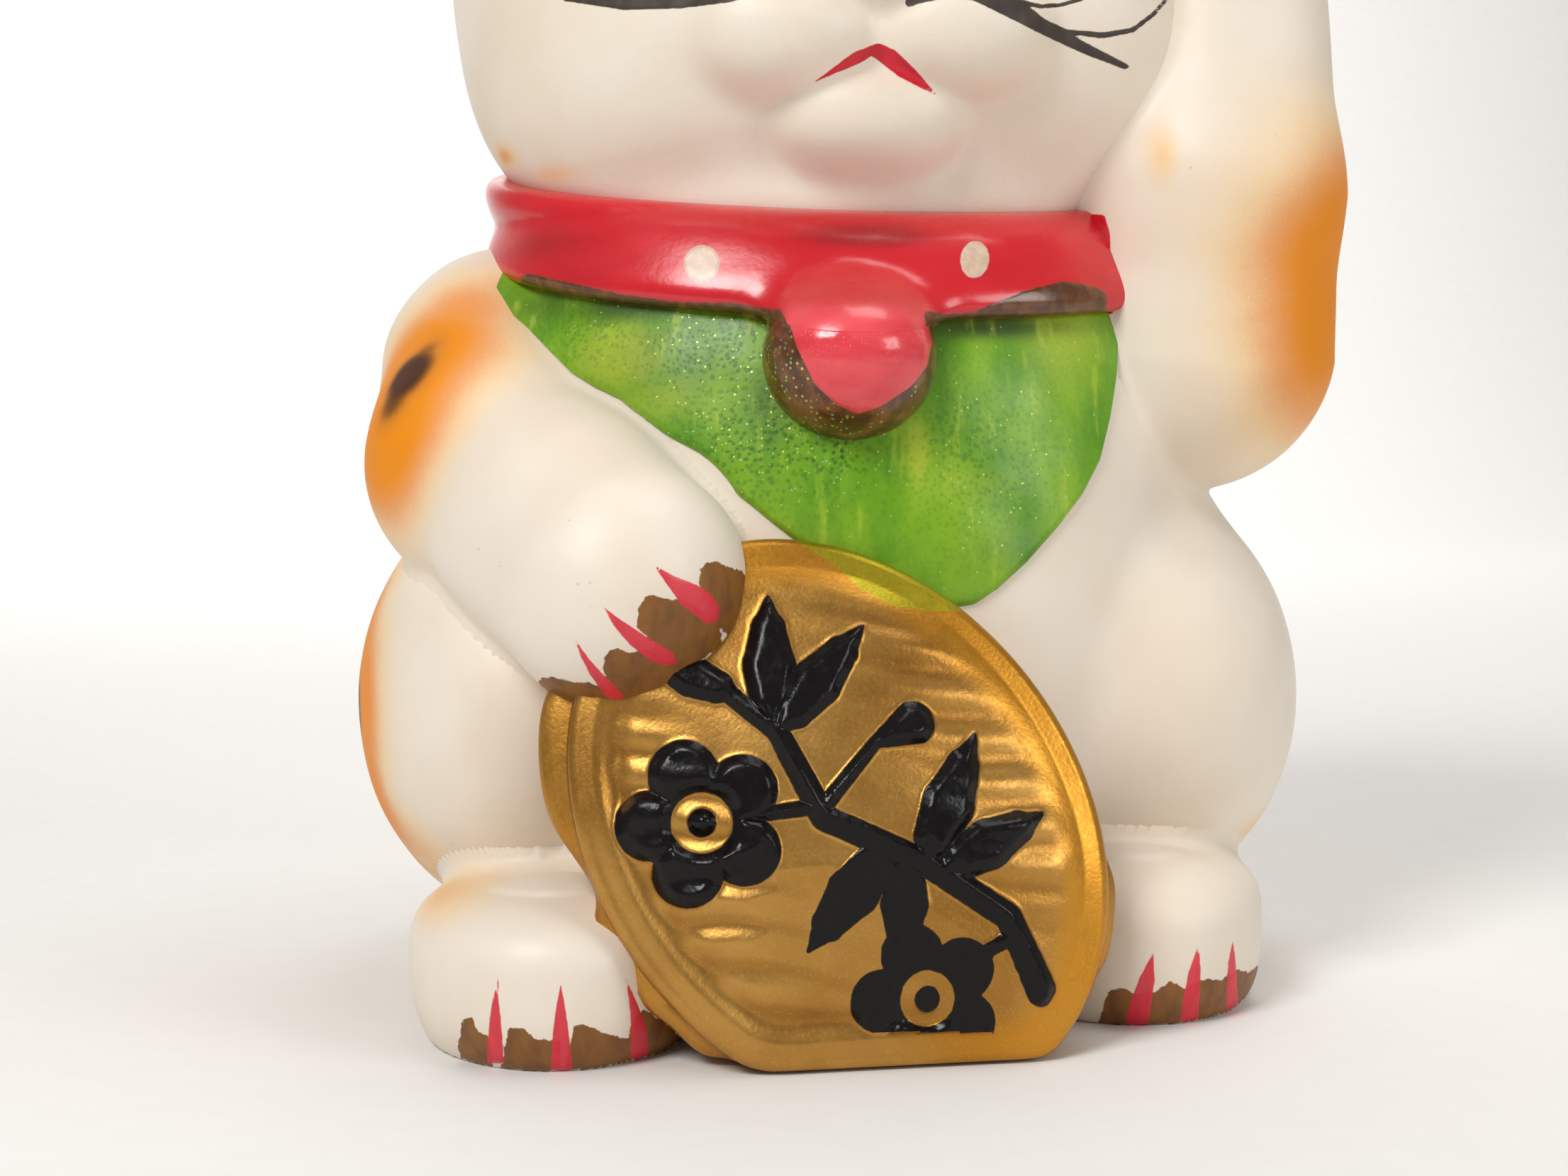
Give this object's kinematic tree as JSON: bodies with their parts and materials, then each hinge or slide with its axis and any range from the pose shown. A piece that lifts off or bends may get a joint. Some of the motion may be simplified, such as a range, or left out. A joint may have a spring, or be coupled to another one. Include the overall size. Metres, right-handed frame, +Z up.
{
  "type": "lucky cat coin bank",
  "caption": "Seated ceramic lucky cat coin bank with a raised paw, a gold koban coin, red collar, bell, green bib and a stopper in its base.",
  "frame": {"origin": "middle of the whole object's outline in plan, at the height of the table it stands on", "axes": "+Z up; the cat faces -Y; its raised left paw is at +X"},
  "size_m": [0.1302, 0.1264, 0.1935],
  "materials": {
    "painted_ceramic": "satin",
    "ochre_ceramic": "satin",
    "gilt_ceramic": "satin",
    "red_enamel": "gloss",
    "green_lacquer": "gloss",
    "soft_plastic": "matte"
  },
  "bodies": {
    "bank": {"body_shell": "painted_ceramic", "head_shell": "painted_ceramic", "right_ear": "painted_ceramic", "left_ear": "painted_ceramic", "resting_arm": "painted_ceramic", "raised_arm": "painted_ceramic", "right_foot": "painted_ceramic", "left_foot": "painted_ceramic", "tail": "ochre_ceramic", "koban_coin": "gilt_ceramic", "collar": "red_enamel", "bell": "red_enamel", "bib": "green_lacquer"},
    "stopper": {"base_stopper": "soft_plastic"}
  },
  "joints": [
    {"name": "stopper_pull", "type": "slide", "parent": "bank", "child": "stopper", "axis": [0, 0, -1], "range_m": [0, 0.025]}
  ]
}
